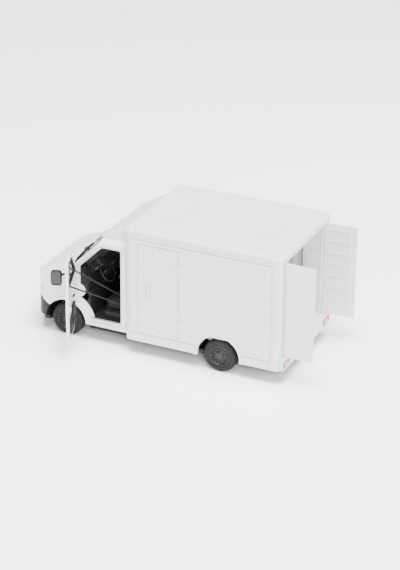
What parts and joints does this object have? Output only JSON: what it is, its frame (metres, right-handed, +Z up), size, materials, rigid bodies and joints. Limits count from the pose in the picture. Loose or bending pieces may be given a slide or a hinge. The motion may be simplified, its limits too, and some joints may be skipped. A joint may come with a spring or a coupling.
{
  "type": "mail delivery truck",
  "caption": "Toy scale model of a mail delivery truck: van cab with opening doors, box body with side door relief and twin rear doors, rolling axles and a wind-up motor.",
  "frame": {"origin": "on the flat underside of the chassis base, on the centre plane, half way between the two axles", "axes": "+X forward along the truck, +Y to the driver's (left) side, +Z up; the ground is 5.6 mm below the origin"},
  "size_m": [0.1755, 0.1021, 0.0761],
  "materials": {
    "white_paint": "smooth gloss enamel on die-cast zinc",
    "box_plastic": "smooth injection moulding",
    "black_plastic": "fine satin texture",
    "interior_plastic": "dull moulding",
    "tyre_rubber": "matt, fine tread",
    "clear_glazing": "clear styrene",
    "lamp_lens": "clear styrene over a pale reflector",
    "lamp_red": "red moulding with a pale centre",
    "steel": "drawn rod",
    "nylon": "natural nylon"
  },
  "bodies": {
    "truck": {"box_body": "box_plastic", "box_roof": "box_plastic", "cab_floor": "black_plastic", "cab_shell": "white_paint", "cargo_floor": "box_plastic", "chassis_base": "black_plastic", "chassis_screws": "steel", "dashboard": "black_plastic", "driver_seat": "interior_plastic", "front_bumper": "black_plastic", "headlamp_left": "lamp_lens", "headlamp_right": "lamp_lens", "motor_case_left": "black_plastic", "motor_case_right": "black_plastic", "passenger_seat": "interior_plastic", "radiator_grille": "black_plastic", "rear_sill": "box_plastic", "roof_fairing": "box_plastic", "steering_wheel": "black_plastic", "tail_lamp_left": "lamp_red", "tail_lamp_right": "lamp_red", "windscreen": "clear_glazing"},
    "left_cab_door": {"left_cab_door": "white_paint", "left_cab_hinge_pins": "steel", "left_door_glass": "clear_glazing", "left_door_trim": "interior_plastic", "left_mirror_housing": "black_plastic"},
    "right_cab_door": {"right_cab_door": "white_paint", "right_cab_hinge_pins": "steel", "right_door_glass": "clear_glazing", "right_door_trim": "interior_plastic", "right_mirror_housing": "black_plastic"},
    "left_rear_door": {"left_rear_door": "box_plastic"},
    "right_rear_door": {"right_rear_door": "box_plastic", "rear_door_handle": "box_plastic"},
    "front_wheels": {"front_axle": "steel", "front_left_hub": "black_plastic", "front_right_hub": "black_plastic", "front_left_tyre": "tyre_rubber", "front_right_tyre": "tyre_rubber"},
    "rear_wheels": {"rear_axle": "steel", "axle_gear": "nylon", "rear_left_hub": "black_plastic", "rear_right_hub": "black_plastic", "rear_left_tyre": "tyre_rubber", "rear_right_tyre": "tyre_rubber"},
    "winding_drum": {"winding_gear": "nylon", "mainspring": "steel"}
  },
  "joints": [
    {"name": "left_cab_door_hinge", "type": "hinge", "parent": "truck", "child": "left_cab_door", "pos_m": [0.0422, 0.0307, 0.027], "axis": [0, 0, 1], "range_deg": [-3, 70]},
    {"name": "right_cab_door_hinge", "type": "hinge", "parent": "truck", "child": "right_cab_door", "pos_m": [0.0422, -0.0307, 0.027], "axis": [0, 0, 1], "range_deg": [0, 73]},
    {"name": "left_rear_door_hinge", "type": "hinge", "parent": "truck", "child": "left_rear_door", "pos_m": [-0.0781, 0.024, 0.038], "axis": [0, 0, 1], "range_deg": [-9, 94]},
    {"name": "right_rear_door_hinge", "type": "hinge", "parent": "truck", "child": "right_rear_door", "pos_m": [-0.0781, -0.024, 0.038], "axis": [0, 0, -1], "range_deg": [-11, 92]},
    {"name": "front_axle_spin", "type": "hinge", "parent": "truck", "child": "front_wheels", "pos_m": [0.048, 0, 0.0041], "axis": [0, 1, 0], "continuous": true},
    {"name": "rear_axle_spin", "type": "hinge", "parent": "truck", "child": "rear_wheels", "pos_m": [-0.048, 0, 0.0041], "axis": [0, 1, 0], "continuous": true},
    {"name": "winding_drum_spin", "type": "hinge", "parent": "truck", "child": "winding_drum", "pos_m": [-0.04268, 0, 0.0041], "axis": [0, 1, 0], "continuous": true}
  ],
  "couplings": [
    {"joint": "winding_drum_spin", "follows": "rear_axle_spin", "ratio": -0.85714}
  ]
}
